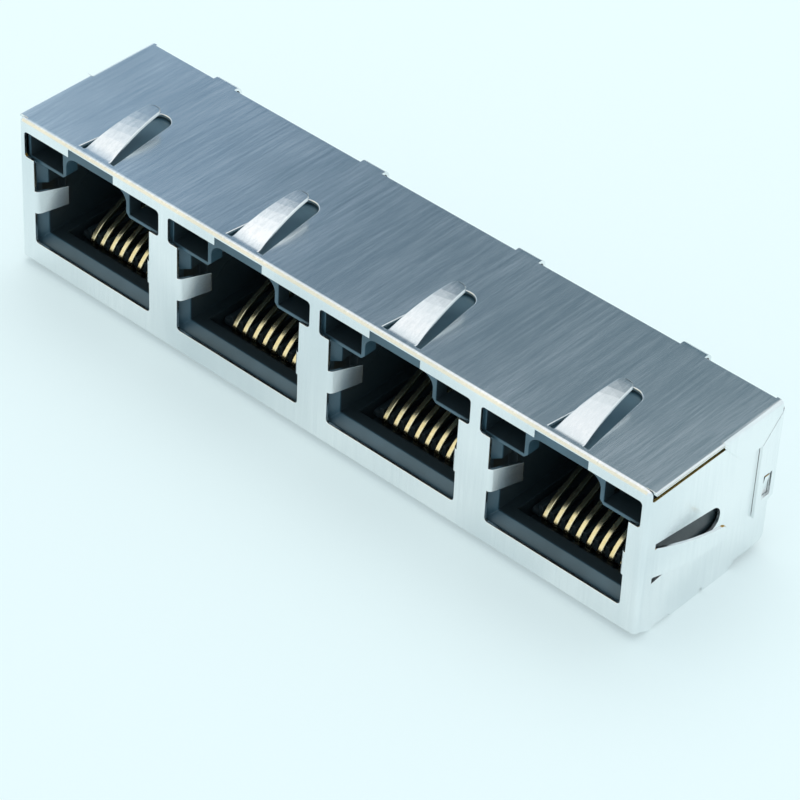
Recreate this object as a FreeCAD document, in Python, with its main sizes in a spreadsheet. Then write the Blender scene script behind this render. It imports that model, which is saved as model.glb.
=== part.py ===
"""Shielded board jack with four 8-way plug openings in one row.

The part is modelled in millimetres. X runs along the row, Y runs back, Z points up
from the circuit board, and the origin is on the board at the middle of the row
of pegs. The latch of each plug points up. Every piece is drawn with Y counted
from the front panel's outer face and moved to the origin at the end.
"""
import FreeCAD, Part
import math
import os
from types import SimpleNamespace

import Sketcher

doc = FreeCAD.newDocument("board_jack")

# Driving dimensions: name, value, what it is
DIMENSIONS = [
    ("port_count", 4, "plug openings in the row"),
    ("port_pitch", 15.24, "from one plug opening to the next"),
    ("end_margin", 0.12, "shield beyond the last pitch at each end"),
    # The plug's space, standard for an 8-way modular plug
    ("plug_width", 11.9, "width of the cavity for the plug"),
    ("plug_height", 6.75, "height of the cavity for the plug"),
    ("plug_floor", 2.85, "cavity floor above the board"),
    ("plug_depth", 10.05, "from the housing's front to the plug stop"),
    # Stamped shield
    ("sheet_gauge", 0.25, "thickness of the shield's sheet"),
    ("bend_radius", 0.4, "outer radius of the shield's bends"),
    ("front_lift", 0.6, "front panel's lower edge above the board"),
    ("top_clearance", 0.18, "between the housing and the top panel"),
    ("side_clearance", 0.2, "between the housing and the side walls"),
    ("front_clearance", 0.3, "between the housing and the front panel"),
    ("rear_clearance", 0.37, "between the housing and the side walls' rear edges"),
    ("lap_gap", 0.02, "between sheets that lie on each other"),
    ("seam_gap", 0.1, "seam between two panels in one plane"),
    ("side_reveal", 0.215, "front cut-out beyond the cavity at each side"),
    ("sill_reveal", 0.35, "front cut-out below the cavity's floor"),
    ("window_reveal", 0.085, "front cut-out beyond the lamp pocket at the side"),
    ("window_lap", 0.17, "front panel's step above the lamp pocket's floor"),
    ("window_head_lap", 0.12, "front strip over the top of the lamp pocket"),
    ("notch_width", 4.76, "notch over the latch in the front panel"),
    ("notch_rise", 0.72, "height of the notch above the windows"),
    ("cutout_corner", 0.3, "corner radius of the front cut-outs"),
    # Spring fingers of the shield
    ("finger_setback", 0.7, "from the front face to the top fingers' slots"),
    ("side_finger_setback", 1.25, "from the front face to the side fingers' slots"),
    ("side_finger_height", 6.4, "side fingers' middle above the board"),
    ("slot_length", 7.3, "length of a finger's slot"),
    ("slot_root_width", 3.6, "slot's width at the finger's root"),
    ("slot_tip_width", 2.1, "slot's width at its round end"),
    ("finger_flat", 0.2, "flat start of a finger inside its slot"),
    ("finger_length", 6.15, "curved length of a finger along the sheet"),
    ("finger_rise", 1.4, "how far a finger's tip stands out"),
    ("finger_root_width", 2.62, "finger's width at its root"),
    ("finger_tip_width", 1.35, "finger's width at its tip"),
    # Ground tabs that touch the plug's own shield
    ("tab_height", 2.03, "height of a ground tab at its root"),
    ("tab_sill", 5.24, "lower edge of the ground tabs above the board"),
    ("tab_rise", 0.43, "rise of a ground tab's lower edge to its tip"),
    ("tab_length", 2.3, "straight length of a ground tab"),
    ("tab_angle", 65.0, "turn of a ground tab into the opening, degrees"),
    # Outline of the side walls
    ("gap_setback", 0.35, "open edge between top and side wall, from the front"),
    ("gap_height", 0.72, "side wall's upper edge below the top panel"),
    ("gap_corner", 0.25, "rounded front end of that open edge"),
    ("edge_roll", 0.2, "rounded upper edge of the top panel over that open edge"),
    ("toe_length", 1.3, "slope at the front of the side wall's lower edge"),
    ("heel_rise", 0.6, "lower edge of the side wall behind the leg"),
    ("heel_radius", 0.7, "lower rear corner of the side wall"),
    ("drain_length", 1.8, "shallow notch in the side wall's lower edge"),
    ("drain_setback", 2.1, "from the front to the shallow notch"),
    ("drain_height", 0.2, "height of the shallow notch"),
    ("drain_corner", 0.16, "radius of its upper corners"),
    # Top panel and the flaps that it sends down over the side walls
    ("top_inset", 0.15, "top panel's rear edge in front of the side walls' rear edges"),
    ("flap_setback", 7.7, "from the front to the flaps"),
    ("flap_taper", 2.35, "how far a flap's front edge slants back"),
    ("flap_foot", 10.5, "lower edge of the flaps above the board"),
    ("flap_corner", 0.4, "rounded lower corner of a flap"),
    # Ground legs on the side walls
    ("leg_setback", 7.5, "from the front to a leg's root"),
    ("leg_root", 3.1, "width of a leg's root"),
    ("leg_width", 1.3, "width of a leg in the board"),
    ("leg_length", 3.3, "length of a leg below the board"),
    ("leg_shoulder", 0.9, "height of a leg's tapering shoulder"),
    ("relief_width", 0.3, "notch each side of a leg's root"),
    ("relief_height", 0.35, "height of those notches above the board"),
    # Rear shield, whose flanges lie on the side walls
    ("hem_width", 2.2, "width of the top panel's lock tabs"),
    ("hem_drop", 1.45, "how far a lock tab reaches down the rear"),
    ("hem_radius", 0.6, "outer radius of a lock tab's bend"),
    ("flange_length", 2.3, "flange on a side wall, from the rear face"),
    ("flange_foot", 4.85, "flange's lower edge at the rear corner"),
    ("flange_slope", 1.05, "how much lower that edge is at the flange's front"),
    ("panel_crown", 0.55, "rear panel's upper edge below the top panel"),
    ("panel_inset", 1.4, "lower part of the rear panel inside the side walls"),
    ("panel_lift", 0.35, "rear panel's lower edge above the board"),
    ("latch_width", 0.95, "window in a flange, front to back"),
    ("latch_height", 2.1, "window in a flange, height"),
    ("latch_setback", 0.72, "rear of that window from the rear face"),
    ("latch_sill", 5.2, "lower edge of that window above the board"),
    ("lance_setback", 0.15, "front of the side wall's lance, behind that window's front"),
    ("lance_width", 0.5, "side wall's lance in that window, front to back"),
    ("lance_lean", 0.3, "how far the lance's upper end stands out"),
    # Housing
    ("housing_depth", 13.35, "moulding from front to rear"),
    ("housing_lift", 0.25, "moulding's underside above the board"),
    ("bezel_depth", 1.2, "front frame of the moulding"),
    ("lead_in", 0.65, "slope at the mouth of the cavity"),
    ("lead_in_depth", 0.7, "depth of that slope"),
    ("latch_channel", 6.4, "width of the latch channel in the frame"),
    ("channel_step", 0.4, "how much wider the channel is behind the frame"),
    ("channel_corner", 1.0, "radius of the channel's upper corners"),
    ("channel_chamfer", 0.35, "corner between the channel and the cavity"),
    ("channel_depth", 8.4, "latch channel from the housing's front"),
    ("lamp_wall", 0.35, "wall between a lamp pocket and the channel"),
    ("lamp_width", 3.5, "width of a lamp pocket"),
    ("lamp_shelf", 0.28, "plate between a lamp pocket and the cavity"),
    ("lamp_height", 2.57, "height of a lamp pocket"),
    ("lamp_depth", 12.0, "depth of a lamp pocket"),
    ("roof", 0.5, "moulding over the pockets"),
    ("tab_recess", 0.8, "hollow behind a ground tab"),
    ("tab_recess_depth", 2.45, "depth of that hollow"),
    ("tab_room", 0.3, "room above and below a ground tab"),
    # Board pegs
    ("peg_diameter", 3.2, "locating peg"),
    ("peg_length", 3.3, "peg below the board"),
    ("peg_tip", 0.6, "taper at a peg's tip"),
    ("peg_setback", 5.0, "from the front face to the pegs"),
    ("peg_offset", 5.57, "from a plug opening's middle to its peg"),
    ("collar_diameter", 4.6, "seat round each peg"),
    ("pad_width", 2.4, "seat under the middle of the row, along it"),
    ("pad_length", 4.6, "the same seat, front to back"),
    ("seat_root", 0.5, "how far pegs and seat reach up into the moulding"),
    # Contact insert
    ("insert_gap", 0.1, "between an insert and the housing"),
    ("insert_width", 11.8, "width of an insert"),
    ("insert_height", 9.1, "height of an insert's block"),
    ("insert_recess", 0.25, "insert's rear face inside the housing's rear"),
    ("insert_foot", 2.15, "foot in front of the block"),
    ("foot_height", 1.05, "height of the foot"),
    ("tongue_width", 9.7, "width of the tongue"),
    ("tongue_gauge", 0.6, "thickness of the tongue"),
    ("tongue_side_gap", 0.2, "beside the tongue"),
    ("tongue_room", 1.1, "hollow below the tongue for the contacts"),
    ("floor_depth", 1.8, "solid floor from the housing's front to the hollow"),
    ("rib_height", 0.55, "ribs between the contacts on the tongue"),
    ("rib_width", 0.32, "width of those ribs"),
    ("rib_length", 3.0, "length of those ribs"),
    ("comb_depth", 1.4, "teeth that guide the free ends"),
    ("comb_foot", 0.4, "teeth start above the cavity's floor"),
    ("comb_height", 4.0, "height of those teeth"),
    ("comb_width", 0.42, "width of a tooth"),
    # Contacts
    ("contact_count", 8, "contacts in each plug opening"),
    ("contact_pitch", 1.016, "contacts in the plug opening"),
    ("contact_width", 0.42, "width of a contact"),
    ("contact_gauge", 0.3, "thickness of a contact"),
    ("contact_slack", 0.02, "between a contact and the tongue's nose"),
    ("contact_setback", 4.0, "from the front face to the bend's middle"),
    ("nose_angle", 56.0, "slope where the tight bend ends, degrees"),
    ("sweep_radius", 4.0, "outer radius of the wide bend up to the beam"),
    ("beam_angle", 26.0, "rise of the contact beam, degrees"),
    ("beam_length", 5.0, "straight length of the beam"),
    ("jog_start", 5.2, "from the front face to where contacts spread"),
    ("jog_length", 2.8, "stretch over which contacts spread"),
    ("tail_pitch", 1.27, "from one tail to the next, across both rows"),
    ("tail_row", 9.2, "from the front face to the first row of tails"),
    ("row_spacing", 2.54, "from the first row of tails to the second"),
    ("tail_radius", 0.5, "middle radius of the bend above a tail"),
    ("tail_length", 3.2, "tail below the board"),
    ("tail_slack", 0.06, "between a contact and its slot in the insert"),
]

sheet = doc.addObject("Spreadsheet::Sheet", "Sizes")
for row, (name, value, meaning) in enumerate(DIMENSIONS, start=1):
    sheet.set("A%d" % row, meaning)
    sheet.set("B%d" % row, str(value))
    sheet.setAlias("B%d" % row, name)
doc.recompute()


class Size:
    """A size as a number, with the sheet expression that it comes from."""

    def __init__(self, value, text):
        self.value = value
        self.text = text

    def __add__(self, other):
        other = as_size(other)
        return Size(self.value + other.value, "(%s + %s)" % (self.text, other.text))

    def __sub__(self, other):
        other = as_size(other)
        return Size(self.value - other.value, "(%s - %s)" % (self.text, other.text))

    def __mul__(self, other):
        other = as_size(other)
        return Size(self.value * other.value, "(%s * %s)" % (self.text, other.text))

    def __truediv__(self, other):
        other = as_size(other)
        return Size(self.value / other.value, "(%s / %s)" % (self.text, other.text))

    def __radd__(self, other):
        return as_size(other) + self

    def __rsub__(self, other):
        return as_size(other) - self

    def __rmul__(self, other):
        return as_size(other) * self

    def __neg__(self):
        return Size(-self.value, "(0 - %s)" % self.text)


def as_size(number):
    """Take a plain number into the arithmetic of sizes."""
    return number if isinstance(number, Size) else Size(float(number), repr(float(number)))


def cosine(angle):
    """The cosine of an angle in degrees."""
    return Size(math.cos(math.radians(angle.value)), "cos(%s)" % angle.text)


def sine(angle):
    """The sine of an angle in degrees."""
    return Size(math.sin(math.radians(angle.value)), "sin(%s)" % angle.text)


s = SimpleNamespace(**{name: Size(sheet.get(name), "Sizes." + name) for name, _, _ in DIMENSIONS})
PORTS = round(s.port_count.value)
CONTACTS = round(s.contact_count.value)

# Positions that several pieces share
half_width = s.port_pitch * s.port_count / 2 + s.end_margin
inner_half = half_width - s.sheet_gauge
housing_half = inner_half - s.side_clearance
housing_front = s.sheet_gauge + s.front_clearance
housing_rear = housing_front + s.housing_depth
wall_rear = housing_rear + s.rear_clearance
rear_inner = wall_rear + s.bend_radius - s.sheet_gauge
rear_outer = rear_inner + s.sheet_gauge
lap_inner = half_width + s.lap_gap
lap_outer = lap_inner + s.sheet_gauge
plug_ceiling = s.plug_floor + s.plug_height
plug_stop = housing_front + s.plug_depth
pocket_floor = plug_ceiling + s.lamp_shelf
pocket_roof = pocket_floor + s.lamp_height
housing_top = pocket_roof + s.roof
top_inner = housing_top + s.top_clearance
top_outer = top_inner + s.sheet_gauge
pocket_inner = s.latch_channel / 2 + s.lamp_wall
pocket_outer = pocket_inner + s.lamp_width
tongue_top = s.plug_floor - s.rib_height
tongue_bottom = tongue_top - s.tongue_gauge
bend_height = tongue_top - s.tongue_gauge / 2
bend_middle = s.tongue_gauge / 2 + s.contact_slack + s.contact_gauge / 2
run_height = bend_height - bend_middle
block_front = plug_stop + s.insert_gap
# How far a cutting tool runs past the face that it opens
PAST = 1.0
# How near a point must be to count as lying on a plane
NEAR = 0.01


def port_x(index):
    """Middle of a plug opening, counted from 0 at the left."""
    return s.port_pitch * (index + 0.5) - s.port_pitch * s.port_count / 2


def tie(thing, name, size):
    """Bind one property of an object to the sheet."""
    thing.setExpression(name, as_size(size).text)


def place(thing, x=0, y=0, z=0):
    """Bind an object's position to the sheet."""
    for axis, size in (("x", x), ("y", y), ("z", z)):
        tie(thing, "Placement.Base." + axis, size)
    return thing


def block(name, x, y, z):
    """A box between two sizes along each axis."""
    thing = doc.addObject("Part::Box", name)
    for size_name, (low, high) in zip(("Length", "Width", "Height"), (x, y, z)):
        tie(thing, size_name, as_size(high) - low)
    return place(thing, x[0], y[0], z[0])


PLANES = {
    "XY": (FreeCAD.Rotation(), FreeCAD.Vector(0, 0, 1), "z"),
    "XZ": (FreeCAD.Rotation(FreeCAD.Vector(1, 0, 0), 90), FreeCAD.Vector(0, 1, 0), "y"),
    "YZ": (FreeCAD.Rotation(FreeCAD.Vector(1, 1, 1), 120), FreeCAD.Vector(1, 0, 0), "x"),
}


def outline(name, plane, corners, arcs=None):
    """A closed sketch through the corners, each bound to the sheet.

    arcs maps a corner's index to the centre and radius of the arc from that
    corner to the next one. Every other side is straight.
    """
    arcs = arcs or {}
    corners = [(as_size(u), as_size(v)) for u, v in corners]
    sketch = doc.addObject("Sketcher::SketchObject", name)
    sketch.Placement.Rotation = PLANES[plane][0]
    starts = []
    ends = []
    radii = []
    for index, (u, v) in enumerate(corners):
        next_u, next_v = corners[(index + 1) % len(corners)]
        here = FreeCAD.Vector(u.value, v.value, 0)
        there = FreeCAD.Vector(next_u.value, next_v.value, 0)
        if index not in arcs:
            side = sketch.addGeometry(Part.LineSegment(here, there))
            starts.append((side, 1))
            ends.append((side, 2))
            continue
        (centre_u, centre_v), radius = arcs[index]
        centre = FreeCAD.Vector(as_size(centre_u).value, as_size(centre_v).value, 0)
        begin = math.atan2(here.y - centre.y, here.x - centre.x)
        finish = math.atan2(there.y - centre.y, there.x - centre.x)
        anticlockwise = (finish - begin) % math.tau < math.pi
        first, last = (begin, finish) if anticlockwise else (finish, begin)
        circle = Part.Circle(centre, FreeCAD.Vector(0, 0, 1), radius.value)
        side = sketch.addGeometry(Part.ArcOfCircle(circle, first, last))
        starts.append((side, 1 if anticlockwise else 2))
        ends.append((side, 2 if anticlockwise else 1))
        radii.append((side, radius))
    for index, (side, point) in enumerate(ends):
        sketch.addConstraint(Sketcher.Constraint("Coincident", side, point, *starts[(index + 1) % len(starts)]))
    for (side, point), corner in zip(starts, corners):
        for kind, size in zip(("DistanceX", "DistanceY"), corner):
            number = sketch.addConstraint(Sketcher.Constraint(kind, -1, 1, side, point, size.value))
            tie(sketch, "Constraints[%d]" % number, size)
    for side, radius in radii:
        number = sketch.addConstraint(Sketcher.Constraint("Radius", side, radius.value))
        tie(sketch, "Constraints[%d]" % number, radius)
    return sketch


def prism(name, plane, span, corners, arcs=None):
    """An outline extruded from the first size of the span to the second."""
    _, direction, axis = PLANES[plane]
    sketch = outline(name + "_outline", plane, corners, arcs)
    tie(sketch, "Placement.Base." + axis, span[0])
    thing = doc.addObject("Part::Extrusion", name)
    thing.Base = sketch
    thing.DirMode = "Custom"
    thing.Dir = direction
    thing.Solid = True
    tie(thing, "LengthFwd", as_size(span[1]) - span[0])
    return thing


def square_corners(corners, radius, rounded):
    """Round the chosen corners of an outline whose sides run along its axes."""
    points = []
    arcs = {}
    for index, (u, v) in enumerate(corners):
        if index not in rounded:
            points.append((u, v))
            continue
        steps = []
        for other_u, other_v in (corners[index - 1], corners[(index + 1) % len(corners)]):
            along_u = as_size(other_u).value - as_size(u).value
            along_v = as_size(other_v).value - as_size(v).value
            steps.append((0 if abs(along_u) < abs(along_v) else math.copysign(1, along_u),
                          0 if abs(along_v) < abs(along_u) else math.copysign(1, along_v)))
        (back_u, back_v), (on_u, on_v) = steps
        arcs[len(points)] = ((u + radius * (back_u + on_u), v + radius * (back_v + on_v)), radius)
        points.append((u + radius * back_u, v + radius * back_v))
        points.append((u + radius * on_u, v + radius * on_v))
    return points, arcs


def fuse(name, pieces):
    """Join several shapes into one."""
    thing = doc.addObject("Part::MultiFuse", name)
    thing.Shapes = pieces
    thing.Refine = True
    return thing


def cut(name, base, tool):
    """Take one shape out of another."""
    thing = doc.addObject("Part::Cut", name)
    thing.Base = base
    thing.Tool = tool
    thing.Refine = True
    return thing


def overlap(name, first, second):
    """Keep what two shapes share."""
    thing = doc.addObject("Part::Common", name)
    thing.Base = first
    thing.Tool = second
    return thing


def copy_at(name, source, x=0, y=0, z=0, rotation=None):
    """A linked copy of a shape at another place."""
    link = doc.addObject("App::Link", name)
    link.LinkedObject = source
    link.LinkTransform = False
    if rotation:
        link.Placement.Rotation = rotation
    return place(link, x, y, z)


def round_edges(name, base, radius, wanted):
    """Round the straight edges whose middle passes the test."""
    doc.recompute()
    thing = doc.addObject("Part::Fillet", name)
    thing.Base = base
    chosen = []
    for number, edge in enumerate(base.Shape.Edges, start=1):
        if wanted(edge.valueAt((edge.FirstParameter + edge.LastParameter) / 2)):
            chosen.append((number, radius.value, radius.value))
    thing.Edges = chosen
    return thing


def on_folds(half, top):
    """Test for the top edges and upright corners of the folded shell."""
    def test(point):
        at_end = abs(abs(point.x) - half) < NEAR
        at_top = abs(point.z - top) < NEAR
        at_front = point.y < s.bend_radius.value
        return (at_end and at_front) or (at_top and at_front) or (at_top and at_end)
    return test


# Front shield: the sheet is folded down at the front and back along both sides
shell_block = block("shell_block", (-half_width, half_width), (0, wall_rear), (0, top_outer))
shell_core = block("shell_core", (-inner_half, inner_half), (s.sheet_gauge, wall_rear + PAST), (-PAST, top_inner))
shell_round = round_edges("shell_round", shell_block, s.bend_radius, on_folds(half_width.value, top_outer.value))
core_round = round_edges("core_round", shell_core, s.bend_radius - s.sheet_gauge,
                         on_folds(inner_half.value, top_inner.value))
shell = cut("shell", shell_round, core_round)

# Front cut-out of one port: plug opening, lamp windows and the notch over the latch
opening_half = s.plug_width / 2 + s.side_reveal
window_half = pocket_outer + s.window_reveal
sill = s.plug_floor - s.sill_reveal
step = pocket_floor + s.window_lap
head = pocket_roof - s.window_head_lap
notch_half = s.notch_width / 2
notch_top = head + s.notch_rise
half_cutout = [(opening_half, sill), (opening_half, step), (window_half, step), (window_half, head),
               (notch_half, head), (notch_half, notch_top)]
cutout_corners = half_cutout + [(-u, v) for u, v in reversed(half_cutout)]
cutout_points, cutout_arcs = square_corners(cutout_corners, s.cutout_corner, (0, 2, 3, 8, 9, 11))
front_cutout = prism("front_cutout", "XZ", (-PAST, housing_front), cutout_points, cutout_arcs)

# Slot and spring finger, drawn flat: Y runs from root to tip and Z points out of the sheet
slot_radius = s.slot_tip_width / 2
slot_straight = s.slot_length - slot_radius
finger_slot = prism("finger_slot", "XY", (-PAST, PAST),
                    [(-s.slot_root_width / 2, 0), (s.slot_root_width / 2, 0),
                     (slot_radius, slot_straight), (0, s.slot_length), (-slot_radius, slot_straight)],
                    {2: ((0, slot_straight), slot_radius), 3: ((0, slot_straight), slot_radius)})
tip_radius = s.finger_tip_width / 2
finger_end = s.finger_flat + s.finger_length
finger_plan = prism("finger_plan", "XY", (-PAST, s.finger_rise + PAST),
                    [(-s.finger_root_width / 2, -s.sheet_gauge), (s.finger_root_width / 2, -s.sheet_gauge),
                     (s.finger_root_width / 2, s.finger_flat), (tip_radius, finger_end - tip_radius),
                     (0, finger_end), (-tip_radius, finger_end - tip_radius),
                     (-s.finger_root_width / 2, s.finger_flat)],
                    {3: ((0, finger_end - tip_radius), tip_radius), 4: ((0, finger_end - tip_radius), tip_radius)})
# The finger's arc ends level, so its radius follows from its length and rise
bow = (s.finger_length * s.finger_length + s.finger_rise * s.finger_rise) / (s.finger_rise * 2)
bow_centre = (finger_end, s.finger_rise - bow)
lean = s.sheet_gauge / bow
inner_root = (s.finger_flat + s.finger_length * lean, -(bow - s.finger_rise) * lean)
finger_strip = prism("finger_strip", "YZ", (-s.slot_root_width / 2, s.slot_root_width / 2),
                     [(-s.sheet_gauge, 0), (s.finger_flat, 0), (finger_end, s.finger_rise),
                      (finger_end, s.finger_rise - s.sheet_gauge), inner_root,
                      (s.finger_flat, -s.sheet_gauge), (-s.sheet_gauge, -s.sheet_gauge)],
                     {1: (bow_centre, bow), 3: (bow_centre, bow - s.sheet_gauge)})
finger = overlap("finger", finger_strip, finger_plan)

# Ground tab of one port's right side, bent back into the opening
turn_cos = cosine(s.tab_angle)
turn_sin = sine(s.tab_angle)
tab_inner_radius = s.bend_radius - s.sheet_gauge


def tab_point(radius, length):
    """A point of the tab after its bend, at a radius from the bend's centre."""
    return (opening_half - radius * turn_sin - length * turn_cos,
            s.bend_radius - radius * turn_cos + length * turn_sin)


tab_centre = (opening_half, s.bend_radius)
tab_top = s.tab_sill + s.tab_height
tab_strip = prism("tab_strip", "XY", (s.tab_sill, tab_top),
                  [(opening_half + s.sheet_gauge, 0), (opening_half, 0), tab_point(s.bend_radius, 0),
                   tab_point(s.bend_radius, s.tab_length), tab_point(tab_inner_radius, s.tab_length),
                   tab_point(tab_inner_radius, 0), (opening_half, s.sheet_gauge),
                   (opening_half + s.sheet_gauge, s.sheet_gauge)],
                  {1: (tab_centre, s.bend_radius), 5: (tab_centre, tab_inner_radius)})
tab_reach = s.tab_length + s.bend_radius
tab_side = prism("tab_side", "YZ", (0, opening_half + PAST),
                 [(-PAST, s.tab_sill), (s.bend_radius, s.tab_sill), (tab_reach, s.tab_sill + s.tab_rise),
                  (tab_reach, tab_top + PAST), (-PAST, tab_top + PAST)])
right_tab = overlap("right_tab", tab_strip, tab_side)
left_tab = doc.addObject("Part::Mirroring", "left_tab")
left_tab.Source = right_tab
left_tab.Normal = FreeCAD.Vector(1, 0, 0)

# Outline of the side walls, cut across the whole width
across = (-half_width - PAST, half_width + PAST)
toe = prism("toe", "YZ", across,
            [(-PAST, -PAST), (-PAST, s.front_lift), (s.bend_radius, s.front_lift),
             (s.bend_radius + s.toe_length, 0), (s.bend_radius + s.toe_length, -PAST)])
heel_front = s.leg_setback + s.leg_root + s.relief_width
heel = prism("heel", "YZ", across,
             [(heel_front, -PAST), (heel_front, s.heel_rise), (wall_rear - s.heel_radius, s.heel_rise),
              (wall_rear, s.heel_rise + s.heel_radius), (wall_rear + PAST, s.heel_rise + s.heel_radius),
              (wall_rear + PAST, -PAST)],
             {2: ((wall_rear - s.heel_radius, s.heel_rise + s.heel_radius), s.heel_radius)})
drain_end = s.drain_setback + s.drain_length
drain_points, drain_arcs = square_corners(
    [(s.drain_setback, -PAST), (s.drain_setback, s.drain_height), (drain_end, s.drain_height), (drain_end, -PAST)],
    s.drain_corner, (1, 2))
drain = prism("drain", "YZ", across, drain_points, drain_arcs)
reliefs = []
for relief_name, relief_start in (("front_relief", s.leg_setback - s.relief_width),
                                  ("rear_relief", s.leg_setback + s.leg_root)):
    reliefs.append(block(relief_name, across, (relief_start, relief_start + s.relief_width),
                         (-PAST, s.relief_height)))
# The side walls stop below the top panel, which is wider and lies over them
gap_foot = top_inner - s.gap_height
gap_points, gap_arcs = square_corners(
    [(s.gap_setback, top_outer + PAST), (s.gap_setback, gap_foot), (wall_rear + PAST, gap_foot),
     (wall_rear + PAST, top_outer + PAST)], s.gap_corner, (1,))
edge_room = prism("edge_room", "YZ", across, gap_points, gap_arcs)
middle_keep = block("middle_keep", (-inner_half + s.bend_radius, inner_half - s.bend_radius),
                    (-PAST, wall_rear + PAST * 2), (0, top_outer + PAST * 2))
edge_gaps = cut("edge_gaps", edge_room, middle_keep)
top_rear = wall_rear - s.top_inset
top_trim = block("top_trim", across, (top_rear, wall_rear + PAST), (top_inner - s.bend_radius, top_outer + PAST))
flap_fold = lap_outer - s.bend_radius
half_top = [(lap_outer, s.bend_radius), (lap_outer, s.flap_setback), (flap_fold, s.flap_setback),
            (flap_fold, top_rear)]
flat_top = prism("flat_top", "XY", (top_inner, top_outer), half_top + [(-x, y) for x, y in reversed(half_top)])
top_panel = round_edges("top_panel", flat_top, s.edge_roll,
                        lambda point: abs(abs(point.x) - lap_outer.value) < NEAR
                        and abs(point.z - top_outer.value) < NEAR)
fold_centre = (flap_fold, top_outer - s.bend_radius)
flap_strip = prism("flap_strip", "XZ", (s.flap_setback, wall_rear),
                   [(flap_fold - s.sheet_gauge, top_outer), (flap_fold, top_outer),
                    (lap_outer, top_outer - s.bend_radius), (lap_outer, s.flap_foot), (lap_inner, s.flap_foot),
                    (lap_inner, top_outer - s.bend_radius), (flap_fold, top_inner),
                    (flap_fold - s.sheet_gauge, top_inner)],
                   {1: (fold_centre, s.bend_radius), 5: (fold_centre, s.bend_radius - s.sheet_gauge)})
# A flap ends at the rear in a mitre, where the flange of the rear shield meets it
flange_front = rear_outer - s.flange_length
panel_top = top_inner - s.panel_crown
seam_end = flange_front + (panel_top - s.flap_foot)
flap_plan = prism("flap_plan", "YZ", (0, lap_outer + PAST),
                  [(s.flap_setback, top_outer + PAST), (s.flap_setback, top_outer - s.bend_radius),
                   (s.flap_setback + s.flap_taper, s.flap_foot), (flange_front, s.flap_foot),
                   (seam_end, panel_top), (seam_end, top_outer + PAST)])
flap_cut = overlap("flap_cut", flap_strip, flap_plan)
right_flap = round_edges("right_flap", flap_cut, s.flap_corner,
                         lambda point: abs(point.z - s.flap_foot.value) < NEAR
                         and abs(point.y - (s.flap_setback + s.flap_taper).value) < NEAR)
left_flap = doc.addObject("Part::Mirroring", "left_flap")
left_flap.Source = right_flap
left_flap.Normal = FreeCAD.Vector(1, 0, 0)
# Lances of the side walls, which stand out through the windows of the flanges
latch_end = rear_outer - s.latch_setback
latch_start = latch_end - s.latch_width
lance_start = latch_start + s.lance_setback
lance_end = lance_start + s.lance_width
lance_foot = s.latch_sill + s.seam_gap
lance_top = s.latch_sill + s.latch_height - s.seam_gap
lance_hole = block("lance_hole", across, (lance_start - s.seam_gap, lance_end + s.seam_gap),
                   (lance_foot, lance_top + s.seam_gap))
right_lance = prism("right_lance", "XZ", (lance_start, lance_end),
                    [(inner_half, lance_foot - s.sheet_gauge), (half_width, lance_foot - s.sheet_gauge),
                     (half_width, lance_foot), (half_width + s.lance_lean, lance_top),
                     (inner_half + s.lance_lean, lance_top), (inner_half, lance_foot)])
left_lance = doc.addObject("Part::Mirroring", "left_lance")
left_lance.Source = right_lance
left_lance.Normal = FreeCAD.Vector(1, 0, 0)

shield_tools = [toe, heel, drain, top_trim, lance_hole] + reliefs
shield_parts = [right_flap, left_flap, right_lance, left_lance]
for port in range(PORTS):
    x = port_x(port)
    number = port + 1
    shield_tools.append(copy_at("cutout_%d" % number, front_cutout, x))
    shield_tools.append(copy_at("top_slot_%d" % number, finger_slot, x, s.finger_setback, top_outer))
    shield_parts.append(copy_at("top_finger_%d" % number, finger, x, s.finger_setback, top_outer))
    shield_parts.append(copy_at("right_tab_%d" % number, right_tab, x))
    shield_parts.append(copy_at("left_tab_%d" % number, left_tab, x))

# The side fingers are the same finger, turned outwards
for side_name, side_x, angle in (("right", half_width, 90), ("left", -half_width, -90)):
    turn = FreeCAD.Rotation(FreeCAD.Vector(0, 1, 0), angle)
    spot = (side_x, s.side_finger_setback, s.side_finger_height)
    shield_tools.append(copy_at(side_name + "_slot", finger_slot, *spot, rotation=turn))
    shield_parts.append(copy_at(side_name + "_finger", finger, *spot, rotation=turn))

# Lock tabs of the top panel, bent down over the rear shield
hem_inner = rear_outer + s.lap_gap
hem_outer = hem_inner + s.sheet_gauge
hem_foot = top_outer - s.hem_drop
hem_bend = s.hem_radius - s.sheet_gauge
hem_centre = (hem_outer - s.hem_radius, top_outer - s.hem_radius)
hem = prism("hem", "YZ", (-s.hem_width / 2, s.hem_width / 2),
            [(top_rear - s.sheet_gauge, top_outer), (hem_outer - s.hem_radius, top_outer),
             (hem_outer, top_outer - s.hem_radius), (hem_outer, hem_foot), (hem_inner, hem_foot),
             (hem_inner, top_outer - s.hem_radius), (hem_outer - s.hem_radius, top_inner),
             (top_rear - s.sheet_gauge, top_inner)],
            {1: (hem_centre, s.hem_radius), 5: (hem_centre, hem_bend)})
for port in range(PORTS):
    shield_parts.append(copy_at("hem_%d" % (port + 1), hem, port_x(port)))

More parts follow.
